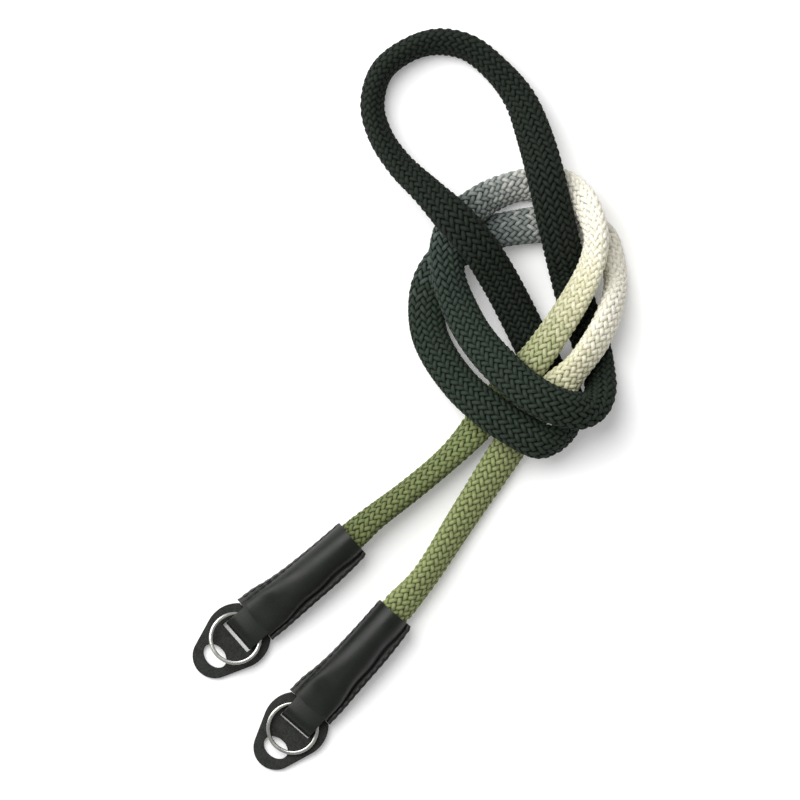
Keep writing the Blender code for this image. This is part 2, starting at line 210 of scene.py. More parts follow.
# The white table and the lights: each softbox by its place, size and power
TABLE_REACH = 4
TABLE_COLOUR = (0.9, 0.9, 0.9, 1)
TABLE_GLOW = (1, 1, 0.99, 1)
TABLE_GLOW_STRENGTH = 0.16
SURROUND = (1, 1, 1, 1)
SURROUND_STRENGTH = 0.42
LIGHT_AIM = (0.035, 0.08, 0)
SOFTBOXES = {
    "softbox": ((-0.42, 0.62, 1.2), 1.2, 20.5),
    "side_softbox": ((-1.0, 0.45, 0.55), 0.8, 6),
}


def feed(tree, socket, value):
    """Links a socket to another's output, or gives it a plain value."""
    if isinstance(value, bpy.types.NodeSocket):
        tree.links.new(value, socket)
    else:
        socket.default_value = value


def node(tree, kind, settings=None, **sockets):
    """Adds a node, with its settings and the sockets that are named."""
    made = tree.nodes.new(kind)
    for name, value in (settings or {}).items():
        setattr(made, name, value)
    for name, value in sockets.items():
        feed(tree, made.inputs[name.replace("_", " ")], value)
    return made


def maths(tree, operation, *values):
    made = tree.nodes.new("ShaderNodeMath")
    made.operation = operation
    for socket, value in zip(made.inputs, values):
        feed(tree, socket, value)
    return made.outputs[0]


def vectors(tree, operation, *values):
    made = tree.nodes.new("ShaderNodeVectorMath")
    made.operation = operation
    for socket, value in zip(made.inputs, values):
        feed(tree, socket, value)
    return made.outputs["Value" if operation == "DOT_PRODUCT" else "Vector"]


def scaled(tree, vector, amount):
    made = tree.nodes.new("ShaderNodeVectorMath")
    made.operation = "SCALE"
    feed(tree, made.inputs["Vector"], vector)
    feed(tree, made.inputs["Scale"], amount)
    return made.outputs["Vector"]


def geometry_tree(name, inputs):
    """A Geometry Nodes tree with named inputs, and the nodes at its two ends."""
    tree = bpy.data.node_groups.new(name, "GeometryNodeTree")
    tree.interface.new_socket("Geometry", in_out="INPUT", socket_type="NodeSocketGeometry")
    for label, kind in inputs:
        tree.interface.new_socket(label, in_out="INPUT", socket_type=f"NodeSocket{kind}")
    tree.interface.new_socket("Geometry", in_out="OUTPUT", socket_type="NodeSocketGeometry")
    return tree, tree.nodes.new("NodeGroupInput").outputs, tree.nodes.new("NodeGroupOutput")


def linked(name, data):
    made = bpy.data.objects.new(name, data)
    bpy.context.scene.collection.objects.link(made)
    return made


def grown(name, guide, tree, values):
    """The plain mesh that a tree makes on a guide, as an object of its own."""
    modifier = guide.modifiers.new(tree.name, "NODES")
    modifier.node_group = tree
    for item in tree.interface.items_tree:
        if item.item_type == "SOCKET" and item.in_out == "INPUT" and item.name in values:
            modifier[item.identifier] = values[item.name]
    graph = bpy.context.evaluated_depsgraph_get()
    mesh = bpy.data.meshes.new_from_object(guide.evaluated_get(graph), depsgraph=graph)
    guide.modifiers.remove(modifier)
    return linked(name, mesh)


def shader_material(name, **sockets):
    """A material with one Principled shader, whose own sockets are set here."""
    made = bpy.data.materials.new(name)
    made.use_nodes = True
    tree = made.node_tree
    shader = tree.nodes["Principled BSDF"]
    for socket, value in sockets.items():
        shader.inputs[socket.replace("_", " ")].default_value = value
    return made, tree, shader


def colour_ramp(tree, factor, stops):
    ramp = tree.nodes.new("ShaderNodeValToRGB")
    feed(tree, ramp.inputs["Factor" if "Factor" in ramp.inputs else "Fac"], factor)
    elements = ramp.color_ramp.elements
    while len(elements) < len(stops):
        elements.new(0.5)
    for element, (place, colour) in zip(elements, stops):
        element.position = place
        element.color = (*colour, 1)
    return ramp.outputs["Color"]


def smooth_curve(points, steps=24):
    """Many points on a centripetal Catmull-Rom curve through these ones."""
    given = np.array(points)
    given = np.vstack([2 * given[0] - given[1], given, 2 * given[-1] - given[-2]])
    found = []
    for a, b, c, d in zip(given, given[1:], given[2:], given[3:]):
        gaps = [np.linalg.norm((q - p)[:3]) ** 0.5 for p, q in ((a, b), (b, c), (c, d))]
        k0, k1, k2, k3 = np.cumsum([0.0] + gaps)
        for t in np.linspace(k1, k2, steps, endpoint=False):
            ab = ((k1 - t) * a + (t - k0) * b) / (k1 - k0)
            bc = ((k2 - t) * b + (t - k1) * c) / (k2 - k1)
            cd = ((k3 - t) * c + (t - k2) * d) / (k3 - k2)
            abc = ((k2 - t) * ab + (t - k0) * bc) / (k2 - k0)
            bcd = ((k3 - t) * bc + (t - k1) * cd) / (k3 - k1)
            found.append(((k2 - t) * abc + (t - k1) * bcd) / (k2 - k1))
    found.append(given[-2])
    return np.array(found)


def sleeve_points(side):
    """The rope's middle at a sleeve's mouth and at its own end inside the sleeve."""
    end = ENDS[side]
    angle = math.radians(end["heading"])
    mouth = np.array([*end["mouth"], SLEEVE_MOUTH_HEIGHT / 2])
    inside = mouth + ROPE_IN_SLEEVE * np.array([math.cos(angle), math.sin(angle), 0])
    return [(*inside, end["roll"]), (*mouth, end["roll"])]


def rope_line():
    """The rope's middle line, and half its width and half its thickness as vectors along it."""
    route = sleeve_points("left") + ROUTE + sleeve_points("right")[::-1]
    line = smooth_curve(route)
    lengths = np.linalg.norm(np.diff(line[:, :3], axis=0), axis=1)
    travelled = np.concatenate([[0], np.cumsum(lengths)])
    places = np.linspace(0, travelled[-1], round(travelled[-1] / ROPE_LINE_STEP) + 1)
    x, y, z, roll = (np.interp(places, travelled, column) for column in line.T)
    middle = np.stack([x, y, z], axis=1)
    ahead = np.gradient(middle, axis=0)
    ahead /= np.linalg.norm(ahead, axis=1)[:, None]
    side = np.cross(ahead, (0, 0, 1))
    side /= np.linalg.norm(side, axis=1)[:, None]
    above = np.cross(side, ahead)
    roll = np.radians(roll)[:, None]
    free = np.minimum(places, places[-1] - places) - ROPE_IN_SLEEVE
    swell = np.clip(free / ROPE_SWELLS_OVER, 0, 1)[:, None]
    swell = swell * swell * (3 - 2 * swell)
    squash = 1 - ROPE_SQUASH * np.abs(np.sin(2 * roll))
    size = ROPE_IN_SLEEVE_SIZE + (squash - ROPE_IN_SLEEVE_SIZE) * swell
    across = (np.cos(roll) * side + np.sin(roll) * above) * size * ROPE_WIDTH / 2
    upward = (np.cos(roll) * above - np.sin(roll) * side) * size * ROPE_THICKNESS / 2
    return middle, across, upward, places[-1]


def line_guide(name, points, **columns):
    """A mesh of one line of edges that carries a vector at each point for each name given."""
    mesh = bpy.data.meshes.new(name)
    mesh.from_pydata(points.tolist(), [(i, i + 1) for i in range(len(points) - 1)], [])
    for label, rows in columns.items():
        column = mesh.attributes.new(label, "FLOAT_VECTOR", "POINT")
        column.data.foreach_set("vector", np.ascontiguousarray(rows, np.float32).ravel())
    return linked(name, mesh)


def sampled(tree, curve, label, along):
    """A vector that the guide carries, and the guide's own point, at a length along it."""
    carried = node(tree, "GeometryNodeInputNamedAttribute", {"data_type": "FLOAT_VECTOR"}, Name=label)
    made = node(tree, "GeometryNodeSampleCurve", {"mode": "LENGTH", "data_type": "FLOAT_VECTOR"})
    feed(tree, made.inputs["Curves"], curve)
    feed(tree, made.inputs["Value"], carried.outputs["Attribute"])
    feed(tree, made.inputs["Length"], along)
    return made.outputs["Value"], made.outputs["Position"]


def outwards(tree, across, upward, angle):
    """Where an angle round the rope's oval lies from its middle, and the way out from there."""
    cosine = maths(tree, "COSINE", angle)
    sine = maths(tree, "SINE", angle)
    place = vectors(tree, "ADD", scaled(tree, across, cosine), scaled(tree, upward, sine))
    flat = scaled(tree, across, maths(tree, "DIVIDE", cosine, vectors(tree, "DOT_PRODUCT", across, across)))
    tall = scaled(tree, upward, maths(tree, "DIVIDE", sine, vectors(tree, "DOT_PRODUCT", upward, upward)))
    return place, vectors(tree, "NORMALIZE", vectors(tree, "ADD", flat, tall))


def stored(tree, geometry, label, value, kind="FLOAT"):
    made = node(tree, "GeometryNodeStoreNamedAttribute", {"data_type": kind, "domain": "POINT"})
    feed(tree, made.inputs["Geometry"], geometry)
    feed(tree, made.inputs["Name"], label)
    feed(tree, made.inputs["Value"], value)
    return made.outputs["Geometry"]


def finished(tree, geometry, material, result):
    """Ends a tree: smooth faces, real geometry and its material."""
    smooth = node(tree, "GeometryNodeSetShadeSmooth", Geometry=geometry)
    real = node(tree, "GeometryNodeRealizeInstances", Geometry=smooth.outputs["Geometry"])
    coated = node(tree, "GeometryNodeSetMaterial", Geometry=real.outputs["Geometry"], Material=material)
    tree.links.new(coated.outputs["Geometry"], result.inputs["Geometry"])


def strand_tree():
    """Strands that wind round the rope one way, over two of the others and under two."""
    tree, source, result = geometry_tree(
        "braid_strands",
        [
            ("Strands", "Int"), ("First Strand", "Float"), ("Turn", "Float"), ("Pitch", "Float"),
            ("Width", "Float"), ("Thickness", "Float"), ("Rise", "Float"), ("Points", "Int"),
            ("Rope Length", "Float"), ("Scatter", "Float"), ("Material", "Material"),
        ],
    )
    guide = node(tree, "GeometryNodeMeshToCurve", Mesh=source["Geometry"]).outputs["Curve"]
    straight = node(tree, "GeometryNodeCurvePrimitiveLine").outputs["Curve"]
    stepped = node(tree, "GeometryNodeResampleCurve", Curve=straight, Count=source["Points"])
    copies = node(
        tree, "GeometryNodeDuplicateElements", {"domain": "SPLINE"},
        Geometry=stepped.outputs["Curve"], Amount=source["Strands"],
    )
    step = tree.nodes.new("GeometryNodeSplineParameter").outputs["Index"]
    share = maths(tree, "DIVIDE", step, maths(tree, "SUBTRACT", source["Points"], 1))
    along = maths(tree, "MULTIPLY", share, source["Rope Length"])
    number = maths(tree, "ADD", copies.outputs["Duplicate Index"], source["First Strand"])
    turns = maths(tree, "DIVIDE", maths(tree, "MULTIPLY", along, source["Turn"]), source["Pitch"])
    turns = maths(tree, "ADD", turns, maths(tree, "DIVIDE", number, CARRIERS))
    angle = maths(tree, "MULTIPLY", turns, 2 * math.pi)
    rib = maths(tree, "COSINE", maths(tree, "SUBTRACT", maths(tree, "MULTIPLY", angle, RIBS), RIB_PHASE))
    tread = maths(tree, "MULTIPLY", rib, source["Turn"])
    wave = maths(tree, "SINE", maths(tree, "MULTIPLY", tread, math.pi / 2))
    evening = maths(tree, "MULTIPLY", maths(tree, "SINE", maths(tree, "MULTIPLY", angle, 2)), OVAL_EVENING)
    across, middle = sampled(tree, guide, "across", along)
    upward, _ = sampled(tree, guide, "upward", along)
    place, out = outwards(tree, across, upward, maths(tree, "ADD", angle, evening))
    sunk = maths(tree, "SUBTRACT", 1, wave)
    under = maths(tree, "MULTIPLY", sunk, maths(tree, "DIVIDE", source["Rise"], 2))
    depth = maths(tree, "ADD", under, maths(tree, "DIVIDE", source["Thickness"], 2))
    place = vectors(tree, "SUBTRACT", vectors(tree, "ADD", middle, place), scaled(tree, out, depth))
    laid = node(tree, "GeometryNodeSetPosition", Geometry=copies.outputs["Geometry"], Position=place)
    turned = node(
        tree, "GeometryNodeSetCurveNormal", {"mode": "FREE"},
        Curve=laid.outputs["Geometry"], Normal=out,
    )
    chance = node(tree, "FunctionNodeRandomValue", {"data_type": "FLOAT"}, Seed=DYE_SEED)
    feed(tree, chance.inputs[2], -1.0)
    feed(tree, chance.inputs[3], 1.0)
    feed(tree, chance.inputs["ID"], maths(tree, "MULTIPLY_ADD", source["Turn"], DYE_SEED_APART, number))
    shift = maths(tree, "MULTIPLY", chance.outputs[1], source["Scatter"])
    dye = maths(tree, "DIVIDE", maths(tree, "ADD", along, shift), source["Rope Length"])
    curve = stored(tree, turned.outputs["Curve"], "dye", dye)
    curve = stored(tree, curve, "along", along)
    # How far each strand rises over the others, which the yarn's painted shade reads
    curve = stored(tree, curve, "over", wave)
    circle = node(tree, "GeometryNodeCurvePrimitiveCircle", Resolution=STRAND_SIDES, Radius=0.5)
    size = node(tree, "ShaderNodeCombineXYZ", X=source["Thickness"], Y=source["Width"], Z=1.0)
    oval = node(
        tree, "GeometryNodeTransform",
        Geometry=circle.outputs["Curve"], Scale=size.outputs["Vector"], Rotation=(0, 0, math.pi),
    )
    around = tree.nodes.new("GeometryNodeSplineParameter").outputs["Factor"]
    profile = stored(tree, oval.outputs["Geometry"], "around", around)
    fullness = maths(tree, "MULTIPLY_ADD", wave, STRAND_FULLER_ON_TOP, STRAND_FULLNESS)
    tube = node(
        tree, "GeometryNodeCurveToMesh",
        Curve=curve, Profile_Curve=profile, Scale=fullness, Fill_Caps=True,
    )
    finished(tree, tube.outputs["Mesh"], source["Material"], result)
    return tree


def core_tree():
    """The rope's closed inner tube, a thin one moved out to the rope's oval less an inset."""
    tree, source, result = geometry_tree(
        "rope_core",
        [("Inset", "Float"), ("Sides", "Int"), ("Rope Length", "Float"), ("Material", "Material")],
    )
    guide = node(tree, "GeometryNodeMeshToCurve", Mesh=source["Geometry"]).outputs["Curve"]
    along = tree.nodes.new("GeometryNodeSplineParameter").outputs["Length"]
    curve = stored(tree, guide, "along", along)
    curve = stored(tree, curve, "dye", maths(tree, "DIVIDE", along, source["Rope Length"]))
    circle = node(tree, "GeometryNodeCurvePrimitiveCircle", Resolution=source["Sides"], Radius=MM)
    around = tree.nodes.new("GeometryNodeSplineParameter").outputs["Factor"]
    profile = stored(tree, circle.outputs["Curve"], "around", around)
    tube = node(
        tree, "GeometryNodeCurveToMesh", Curve=curve, Profile_Curve=profile, Fill_Caps=True,
    ).outputs["Mesh"]
    labels = {}
    for label in ("across", "upward", "middle", "around"):
        kind = "FLOAT" if label == "around" else "FLOAT_VECTOR"
        found = node(tree, "GeometryNodeInputNamedAttribute", {"data_type": kind}, Name=label)
        labels[label] = found.outputs["Attribute"]
    angle = maths(tree, "MULTIPLY", labels["around"], -2 * math.pi)
    place, out = outwards(tree, labels["across"], labels["upward"], angle)
    surface = vectors(tree, "ADD", labels["middle"], place)
    place = vectors(tree, "SUBTRACT", surface, scaled(tree, out, source["Inset"]))
    laid = node(tree, "GeometryNodeSetPosition", Geometry=tube, Position=place)
    finished(tree, laid.outputs["Geometry"], source["Material"], result)
    return tree


def dyed(tree, darker=1.0):
    """The rope's colour at this place along its length."""
    found = node(tree, "ShaderNodeAttribute", {"attribute_name": "dye"})
    last = DYE[-1][0]
    stops = [(place / last, tuple(darker * part for part in colour)) for place, colour in DYE]
    return colour_ramp(tree, found.outputs["Fac"], stops)


def strand_material():
    """Polyester yarn: filaments along each strand, with painted shade on its flanks and where it dips under
    the others.
    """
    made, tree, shader = shader_material("braided_yarn", Roughness=0.8, Specular_IOR_Level=0.22)
    colour = dyed(tree)
    around = node(tree, "ShaderNodeAttribute", {"attribute_name": "around"}).outputs["Fac"]
    along = node(tree, "ShaderNodeAttribute", {"attribute_name": "along"}).outputs["Fac"]
    over = node(tree, "ShaderNodeAttribute", {"attribute_name": "over"}).outputs["Fac"]
    spread = node(
        tree, "ShaderNodeCombineXYZ",
        X=maths(tree, "MULTIPLY", around, STREAKS_AROUND), Y=maths(tree, "MULTIPLY", along, STREAKS_ALONG),
    )
    streaks = node(tree, "ShaderNodeTexNoise", Vector=spread.outputs["Vector"], Scale=1.0, Detail=2.0)
    light = node(
        tree, "ShaderNodeMapRange", Value=streaks.outputs["Fac"],
        From_Min=0.3, From_Max=0.7, To_Min=0.7, To_Max=1.2,
    )
    # Painted shade: the strand's flanks and the places where it dips under the others are darkened, darker
    # dyes more deeply
    aside = maths(tree, "ABSOLUTE", maths(tree, "SUBTRACT", around, 0.5))
    crown = node(
        tree, "ShaderNodeMapRange", {"interpolation_type": "SMOOTHSTEP"}, Value=aside,
        From_Min=0.06, From_Max=0.27, To_Min=1.0, To_Max=0.0,
    )
    lifted = node(
        tree, "ShaderNodeMapRange", Value=over,
        From_Min=-0.8, From_Max=1.0, To_Min=0.15, To_Max=1.0,
    )
    out_of_painted_shade = maths(tree, "MULTIPLY", crown.outputs["Result"], lifted.outputs["Result"])
    bright = node(tree, "ShaderNodeRGBToBW", Color=colour).outputs["Val"]
    darkest_painted_shade = node(
        tree, "ShaderNodeMapRange", Value=bright,
        From_Min=0.12, From_Max=0.7, To_Min=0.07, To_Max=0.88,
    ).outputs["Result"]
    painted_shade = maths(tree, "ADD", darkest_painted_shade, maths(tree, "MULTIPLY", out_of_painted_shade, maths(tree, "SUBTRACT", 1, darkest_painted_shade)))
    # The streaks' tone times the painted shade, which darkens the dye below
    amount = maths(tree, "MULTIPLY", painted_shade, light.outputs["Result"])
    colour_with_painted_shade = node(tree, "ShaderNodeMix", {"data_type": "RGBA", "blend_type": "MULTIPLY"})
    feed(tree, colour_with_painted_shade.inputs[0], 1.0)
    feed(tree, colour_with_painted_shade.inputs[6], colour)
    feed(tree, colour_with_painted_shade.inputs[7], amount)
    feed(tree, shader.inputs["Base Color"], colour_with_painted_shade.outputs[2])
    bump = node(tree, "ShaderNodeBump", Strength=0.35, Distance=0.0001, Height=streaks.outputs["Fac"])
    feed(tree, shader.inputs["Normal"], bump.outputs["Normal"])
    return made


def core_material():
    # The core shows in the gaps between the strands; its darker dye is painted shade there
    made, tree, shader = shader_material("rope_core", Roughness=0.9, Specular_IOR_Level=0.2)
    feed(tree, shader.inputs["Base Color"], dyed(tree, darker=CORE_PAINTED_SHADE))
    return made


def rope():
    """The free rope: a core that follows its line, and the strands braided over it."""
    middle, across, upward, length = rope_line()
    guide = line_guide("rope_line", middle, across=across, upward=upward, middle=middle)
    core = grown(
        "rope_core", guide, core_tree(),
        {"Inset": CORE_INSET, "Sides": CORE_SIDES, "Rope Length": length, "Material": core_material()},
    )
    tree = strand_tree()
    yarn = strand_material()
    strands = []
    for turn, way in ((1.0, "right"), (-1.0, "left")):
        for first in range(0, CARRIERS, STRANDS_IN_A_PIECE):
            strands.append(grown(
                f"strands_to_the_{way}_{first // STRANDS_IN_A_PIECE + 1}", guide, tree,
                {
                    "Strands": STRANDS_IN_A_PIECE, "First Strand": float(first), "Turn": turn,
                    "Pitch": STRAND_PITCH, "Width": STRAND_WIDTH, "Thickness": STRAND_THICKNESS,
                    "Rise": STRAND_RISE, "Points": round(length / STRAND_STEP), "Rope Length": length,
                    "Scatter": DYE_SCATTER, "Material": yarn,
                },
            ))
    bpy.data.objects.remove(guide)
    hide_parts("rope")
    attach(core, "root")
    for strand in strands:
        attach(strand, "root")


def grain_group():
    """Fine pores and slow unevenness, shared by the leathers and the metal."""
    tree = bpy.data.node_groups.new("surface_grain", "ShaderNodeTree")
    tree.interface.new_socket("Fine Scale", in_out="INPUT", socket_type="NodeSocketFloat")
    tree.interface.new_socket("Slow Scale", in_out="INPUT", socket_type="NodeSocketFloat")
    tree.interface.new_socket("Fine", in_out="OUTPUT", socket_type="NodeSocketFloat")
    tree.interface.new_socket("Slow", in_out="OUTPUT", socket_type="NodeSocketFloat")
    source = tree.nodes.new("NodeGroupInput").outputs
    result = tree.nodes.new("NodeGroupOutput")
    place = tree.nodes.new("ShaderNodeTexCoord").outputs["Object"]
    cells = node(tree, "ShaderNodeTexVoronoi", Vector=place, Scale=source["Fine Scale"])
    fuzz = node(tree, "ShaderNodeTexNoise", Vector=place, Scale=source["Fine Scale"], Detail=4.0)
    fine = maths(tree, "MULTIPLY_ADD", cells.outputs["Distance"], 0.5, fuzz.outputs["Fac"])
    slow = node(tree, "ShaderNodeTexNoise", Vector=place, Scale=source["Slow Scale"], Detail=3.0)
    feed(tree, result.inputs["Fine"], fine)
    feed(tree, result.inputs["Slow"], slow.outputs["Fac"])
    return tree


def grainy(name, grain, low, high, rough, bump, scales, **sockets):
    """A material whose colour, roughness and relief vary with the shared grain."""
    made, tree, shader = shader_material(name, **sockets)
    group = node(tree, "ShaderNodeGroup", {"node_tree": grain})
    group.inputs["Fine Scale"].default_value = scales[0]
    group.inputs["Slow Scale"].default_value = scales[1]
    fine, slow = group.outputs["Fine"], group.outputs["Slow"]
    mixed = maths(tree, "MULTIPLY_ADD", slow, 0.5, maths(tree, "MULTIPLY", fine, 0.5))
    feed(tree, shader.inputs["Base Color"], colour_ramp(tree, mixed, [(0.25, low), (0.75, high)]))
    spread = node(
        tree, "ShaderNodeMapRange", Value=slow,
        From_Min=0.3, From_Max=0.7, To_Min=rough[0], To_Max=rough[1],
    )
    feed(tree, shader.inputs["Roughness"], spread.outputs["Result"])
    relief = node(tree, "ShaderNodeBump", Strength=bump[0], Distance=bump[1], Height=fine)
    feed(tree, shader.inputs["Normal"], relief.outputs["Normal"])
    return made


def end_matrix(side):
    end = ENDS[side]
    turn = Matrix.Rotation(math.radians(end["heading"]), 4, "Z")
    return Matrix.Translation((*end["mouth"], 0)) @ turn


def loft(rings):
    """A bmesh skinned over rings of points and closed at both ends."""
    skin = bmesh.new()
    rows = [[skin.verts.new(point) for point in ring] for ring in rings]
    count = len(rows[0])
    for first, second in zip(rows, rows[1:]):
        for i in range(count):
            j = (i + 1) % count
            skin.faces.new((first[i], first[j], second[j], second[i]))
    skin.faces.new(rows[0])
    skin.faces.new(rows[-1])
    bmesh.ops.recalc_face_normals(skin, faces=skin.faces)
    return skin


def prism(outline, low, high):
    return loft([[(x, y, low) for x, y in outline], [(x, y, high) for x, y in outline]])


def object_of(name, skin):
    mesh = bpy.data.meshes.new(name)
    skin.to_mesh(mesh)
    skin.free()
    return linked(name, mesh)


def settled(item, matrix, material, bevel=None, cutters=()):
    """Cuts and softens a piece, makes it plain mesh in the model's own frame, and shades it."""
    for cutter in cutters:
        cut = item.modifiers.new("cut", "BOOLEAN")
        cut.operation = "DIFFERENCE"
        cut.solver = "EXACT"
        cut.object = cutter
    if bevel:
        soft = item.modifiers.new("soft_edge", "BEVEL")
        soft.width = bevel
        soft.segments = BEVEL_SEGMENTS
        soft.limit_method = "ANGLE"
        soft.angle_limit = math.radians(BEVEL_FROM_ANGLE)
    graph = bpy.context.evaluated_depsgraph_get()
    mesh = bpy.data.meshes.new_from_object(item.evaluated_get(graph), depsgraph=graph)
    item.modifiers.clear()
    for cutter in cutters:
        bpy.data.objects.remove(cutter)
    mesh.transform(matrix)
    mesh.materials.clear()
    mesh.materials.append(material)
    for face in mesh.polygons:
        face.use_smooth = True
    mesh.set_sharp_from_angle(angle=math.radians(SHARP_FROM_ANGLE))
    item.data = mesh
    return item


def arc(centre, radii, start, end, count):
    angles = [math.radians(start + (end - start) * i / count) for i in range(count + 1)]
    return [(centre[0] + radii[0] * math.cos(a), centre[1] + radii[1] * math.sin(a)) for a in angles]


def sleeve_sizes(share, flatness, flange):
    """Half the dome's width and height, and where the flanges' edges lie, at one section."""
    dome = (SLEEVE_MOUTH_WIDTH + (SLEEVE_FLAT_WIDTH - SLEEVE_MOUTH_WIDTH) * flatness) / 2
    half = (SLEEVE_MOUTH_HEIGHT + (SLEEVE_FLAT_HEIGHT - SLEEVE_MOUTH_HEIGHT) * flatness) / 2
    drawn = SCALLOP * math.cos(2 * math.pi * share * SLEEVE_LENGTH / STITCH_SPACING)
    inner = -dome - INNER_FLANGE * flange * flatness - LEATHER / 4 + drawn
    outer = dome + OUTER_FLANGE * flange - INNER_FLANGE * flatness / 2 - drawn
    return dome, half, inner, outer


def sleeve_section(share, flatness, flange):
    """One closed section of the leather, with rounded flanges and a crease at their root."""
    dome, half, inner, outer = sleeve_sizes(share, flatness, flange)
    foot = math.asin(DOME_FOOT * LEATHER / half)
    power = 2 / (2 + (SQUAREST_DOME - 2) * flatness)
    wave = CREASE_WAVE * math.sin(2 * math.pi * share * SLEEVE_LENGTH / CREASE_WAVE_LENGTH)
    top = [
        (
            -dome * math.copysign(abs(math.cos(a)) ** power, math.cos(a))
            + wave * max(0.0, -math.cos(a)) ** 3,
            half * math.sin(a) ** power,
        )
        for a in np.linspace(foot, math.pi - foot, DOME_SIDES)
    ]
    root_in, root_out = top[0][0], top[-1][0]
    first = [(inner + (root_in - inner) * s, LEATHER * h) for s, h in INNER_EDGE]
    last = [(root_out + (outer - root_out) * s, LEATHER * h) for s, h in OUTER_EDGE]
    rows = first + top + last
    along = share * (SLEEVE_LENGTH + SLEEVE_PAST_END)
    upper = [(along, y, half + rise) for y, rise in rows]
    return upper + [(along, y, half - rise) for y, rise in rows[::-1]]


def hollow_section(along, outline):
    middle = SLEEVE_MOUTH_HEIGHT / 2
    wide = SLEEVE_MOUTH_WIDTH / 2 - LEATHER
    tall = middle - LEATHER
    ring = []
    for _, across, height in outline:
        angle = math.atan2((height - middle) / tall, across / wide)
        ring.append((along, wide * math.cos(angle), middle + tall * math.sin(angle)))
    return ring


def tab_outline():
    """The folded strip seen from its side, with finer arcs than the solid's."""
    top = SLEEVE_FLAT_HEIGHT
    root = SLEEVE_LENGTH - TAB_ROOT
    reach = FOLD - TAB_SLOPE_START
    foot = TAB_LEATHER + GAP
    slope = (TAB_SLOPE_START, top - TAB_DROP)
    turn = (FOLD - foot, foot)
    within = foot - TAB_LEATHER
    outer = [(root, top - TAB_SINK), (SLEEVE_LENGTH + GAP, top)]
    outer += arc(slope, (reach, TAB_DROP), 90, 0, TAB_SLOPE_STEPS)
    outer += arc(turn, (foot, foot), 0, -90, TAB_TURN_STEPS) + [(root, 0)]
    inner = [(root, TAB_LEATHER)] + arc(turn, (within, within), -90, 0, TAB_TURN_STEPS)
    inner += arc(slope, (reach - TAB_LEATHER, TAB_DROP - TAB_LEATHER), 0, 90, TAB_SLOPE_STEPS)
    return outer + inner + [(root, top - TAB_SINK - TAB_LEATHER)]


def leather_end(side, leather):
    """The stitched sleeve and its folded tab, in place of the plain solid."""
    table = smooth_curve(SLEEVE_SECTIONS, steps=SECTIONS_BETWEEN)
    outside = [sleeve_section(*row) for row in table]
    depth = ROPE_IN_SLEEVE + GAP
    hollow = [hollow_section(along, outside[0]) for along in (depth, depth / 2, HOLLOW_LIP, 0)]
    body = settled(object_of(f"{side}_leather_end", loft(hollow + outside)), end_matrix(side), leather)
    strip = [
        [(along, across, height) for along, height in tab_outline()]
        for across in (-TAB_WIDTH / 2, TAB_WIDTH / 2)
    ]
    tab = settled(object_of(f"{side}_tab", loft(strip)), end_matrix(side), leather, TAB_BEVEL)
    for piece in (body, tab):
        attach(piece, "root")
    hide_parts(f"{side}_sleeve")
    return table


def stitch_tree():
    """Short stitches spaced along the lines of a guide."""
    tree, source, result = geometry_tree(
        "stitch_rows",
        [("Spacing", "Float"), ("Stitch Length", "Float"), ("Thread", "Float"), ("Material", "Material")],
    )
    lines = node(tree, "GeometryNodeMeshToCurve", Mesh=source["Geometry"]).outputs["Curve"]
    points = node(
        tree, "GeometryNodeCurveToPoints", {"mode": "LENGTH"},
        Curve=lines, Length=source["Spacing"],
    )
    ball = node(tree, "GeometryNodeMeshUVSphere", Segments=12, Rings=8, Radius=1.0)
    half = maths(tree, "MULTIPLY", source["Stitch Length"], 0.5)
    size = node(tree, "ShaderNodeCombineXYZ", X=source["Thread"], Y=source["Thread"], Z=half)
    stitch = node(tree, "GeometryNodeTransform", Geometry=ball.outputs["Mesh"], Scale=size.outputs["Vector"])
    laid = node(
        tree, "GeometryNodeInstanceOnPoints", Points=points.outputs["Points"],
        Instance=stitch.outputs["Geometry"], Rotation=points.outputs["Rotation"],
    )
    finished(tree, laid.outputs["Instances"], source["Material"], result)
    return tree


def stitches(side, table, tree, thread):
    """Rows of stitches along both flanges, above and below."""
    matrix = np.array(end_matrix(side))
    points, edges = [], []
    for face in (1, -1):
        for edge in ("outer", "inner"):
            first = len(points)
            for share, flatness, flange in table[STITCHED_SECTIONS]:
                _, half, inner, outer = sleeve_sizes(share, flatness, flange)
                across = outer - OUTER_STITCH_INSET if edge == "outer" else inner + INNER_STITCH_INSET
                points.append((share * SLEEVE_LENGTH, across, half + face * LEATHER * STITCH_LEVEL))
            edges += [(i, i + 1) for i in range(first, len(points) - 1)]
    placed = np.array(points) @ matrix[:3, :3].T + matrix[:3, 3]
    mesh = bpy.data.meshes.new("stitch_lines")
    mesh.from_pydata(placed.tolist(), edges, [])
    guide = linked("stitch_lines", mesh)
    made = grown(
        f"{side}_stitches", guide, tree,
        {
            "Spacing": STITCH_SPACING, "Stitch Length": STITCH_LENGTH,
            "Thread": THREAD_RADIUS, "Material": thread,
        },
    )
    bpy.data.objects.remove(guide)
    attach(made, "root")


def guard_slope():
    return math.asin((TAB_LEATHER + GAP) / (GUARD_REACH + GUARD_TIP_RADIUS))


def slit_middle(end):
    return FOLD - TAB_LEATHER - GAP + end["slit"] / 2


